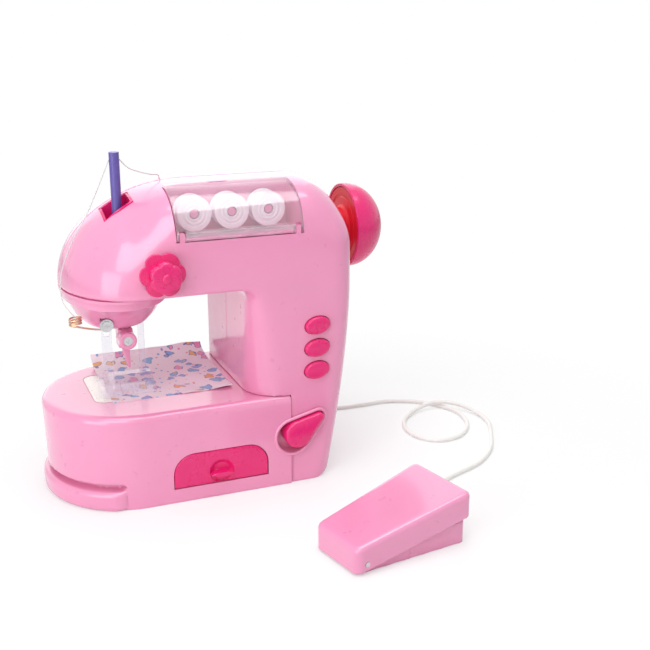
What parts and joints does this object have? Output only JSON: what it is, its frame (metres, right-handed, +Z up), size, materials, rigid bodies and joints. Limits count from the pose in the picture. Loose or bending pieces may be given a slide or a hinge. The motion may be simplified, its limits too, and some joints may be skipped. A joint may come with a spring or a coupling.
{
  "type": "toy sewing machine",
  "caption": "Toy sewing machine with a rounded pink case, domed hand wheel, clear bobbin cover, small drawer and a foot pedal on a looped cord.",
  "frame": {"origin": "on the table, under the middle of the body's depth and the crown of the arm", "axes": "+X along the arm to the hand wheel, +Y to the back, +Z up"},
  "size_m": [0.3165, 0.2623, 0.21],
  "materials": {
    "body_pink": "glossy moulded plastic",
    "hot_pink": "glossy moulded plastic",
    "hub_red": "glossy moulded plastic",
    "rod_purple": "glossy moulded plastic",
    "clear_plastic": "clear moulded plastic",
    "bobbin_plastic": "satin moulded plastic",
    "white_plastic": "plain moulded plastic",
    "cord_vinyl": "flexible cord sheath",
    "steel": "plated",
    "plate_steel": "bright plate",
    "brass_wire": "bright wire",
    "dark_plastic": "plain moulded plastic",
    "board_green": "circuit board",
    "thread": "twisted thread",
    "cloth": "printed cotton"
  },
  "bodies": {
    "machine": {"front_shell": "body_pink", "rear_shell": "body_pink", "bed_shell": "body_pink", "base_cover": "body_pink", "battery_door": "body_pink", "battery_door_screw": "steel", "battery_cells": "dark_plastic", "battery_contacts": "steel", "needle_plate": "plate_steel", "needle_housing": "body_pink", "rod_guide": "hot_pink", "bobbin_tray": "body_pink", "thread_guide_wire": "brass_wire", "wire_screw": "steel", "shaft_bushes": "white_plastic", "drive_motor": "steel", "motor_bracket": "white_plastic", "control_board": "board_green", "slide_switch": "body_pink", "case_screws": "steel", "base_screws": "steel", "board_screws": "steel", "pedal_base": "body_pink", "pedal_hinge_pin": "steel", "pedal_spring": "steel", "pedal_switch": "dark_plastic", "pedal_cord": "cord_vinyl", "cord_gland": "white_plastic", "pedal_gland": "white_plastic", "thread_front": "thread", "thread_rear": "thread", "fabric_piece": "cloth"},
    "needle_group": {"take_up_rod": "rod_purple", "needle_bar": "body_pink", "needle_clamp": "body_pink", "clamp_screw": "steel", "needle": "steel"},
    "wheel_group": {"hand_wheel": "hot_pink", "wheel_hub": "hub_red", "main_shaft": "steel", "crank_disc": "white_plastic", "drive_gear": "white_plastic"},
    "motor_rotor": {"motor_pinion": "white_plastic"},
    "foot": {"presser_foot": "clear_plastic"},
    "drawer": {"drawer": "hot_pink"},
    "button_1": {"button_1": "hot_pink"},
    "button_2": {"button_2": "hot_pink"},
    "button_3": {"button_3": "hot_pink"},
    "power_switch": {"power_switch": "hot_pink"},
    "knob": {"tension_knob": "hot_pink", "knob_clip": "white_plastic"},
    "spool_cover": {"spool_cover": "clear_plastic"},
    "bobbin_left": {"bobbin_left": "bobbin_plastic"},
    "bobbin_middle": {"bobbin_middle": "bobbin_plastic"},
    "bobbin_right": {"bobbin_right": "bobbin_plastic"},
    "pedal_top": {"pedal_top": "body_pink"}
  },
  "joints": [
    {"name": "needle_slide", "type": "slide", "parent": "machine", "child": "needle_group", "axis": [0, 0, 1], "range_m": [-0.012, 0], "deforming": ["thread_front", "thread_rear"]},
    {"name": "wheel_turn", "type": "hinge", "parent": "machine", "child": "wheel_group", "pos_m": [0.1, 0, 0.153], "axis": [1, 0, 0], "continuous": true},
    {"name": "motor_turn", "type": "hinge", "parent": "machine", "child": "motor_rotor", "pos_m": [0.078, 0, 0.1249], "axis": [1, 0, 0], "continuous": true},
    {"name": "foot_lift", "type": "slide", "parent": "machine", "child": "foot", "axis": [0, 0, 1], "range_m": [0, 0.006]},
    {"name": "drawer_slide", "type": "slide", "parent": "machine", "child": "drawer", "axis": [0, -1, 0], "range_m": [0, 0.038]},
    {"name": "button_1_press", "type": "slide", "parent": "machine", "child": "button_1", "axis": [0, 1, 0], "range_m": [0, 0.0015], "stiffness_N_per_m": 600},
    {"name": "button_2_press", "type": "slide", "parent": "machine", "child": "button_2", "axis": [0, 1, 0], "range_m": [0, 0.0015], "stiffness_N_per_m": 600},
    {"name": "button_3_press", "type": "slide", "parent": "machine", "child": "button_3", "axis": [0, 1, 0], "range_m": [0, 0.0015], "stiffness_N_per_m": 600},
    {"name": "switch_slide", "type": "slide", "parent": "machine", "child": "power_switch", "axis": [-0.8283, 0, -0.5603], "range_m": [0, 0.0035]},
    {"name": "knob_turn", "type": "hinge", "parent": "machine", "child": "knob", "pos_m": [-0.0267, -0.0535, 0.1447], "axis": [0, 1, 0], "range_deg": [-150, 150]},
    {"name": "cover_swing", "type": "hinge", "parent": "machine", "child": "spool_cover", "pos_m": [0.022, -0.0501, 0.1649], "axis": [1, 0, 0], "range_deg": [0, 80]},
    {"name": "bobbin_left_spin", "type": "hinge", "parent": "machine", "child": "bobbin_left", "pos_m": [-0.0015, -0.0285, 0.1744], "axis": [0, 1, 0], "continuous": true},
    {"name": "bobbin_middle_spin", "type": "hinge", "parent": "machine", "child": "bobbin_middle", "pos_m": [0.0215, -0.0285, 0.1744], "axis": [0, 1, 0], "continuous": true},
    {"name": "bobbin_right_spin", "type": "hinge", "parent": "machine", "child": "bobbin_right", "pos_m": [0.0445, -0.0285, 0.1744], "axis": [0, 1, 0], "continuous": true},
    {"name": "pedal_press", "type": "hinge", "parent": "machine", "child": "pedal_top", "pos_m": [0.04543, -0.15397, 0.006], "axis": [-0.2181, 0.9759, 0], "range_deg": [0, 6], "stiffness_Nm_per_rad": 2, "springref_deg": -2.86, "deforming": ["pedal_spring"]}
  ],
  "couplings": [
    {"joint": "wheel_turn", "follows": "needle_slide", "rad_per_m": -261.8},
    {"joint": "motor_turn", "follows": "needle_slide", "rad_per_m": 785.4}
  ]
}
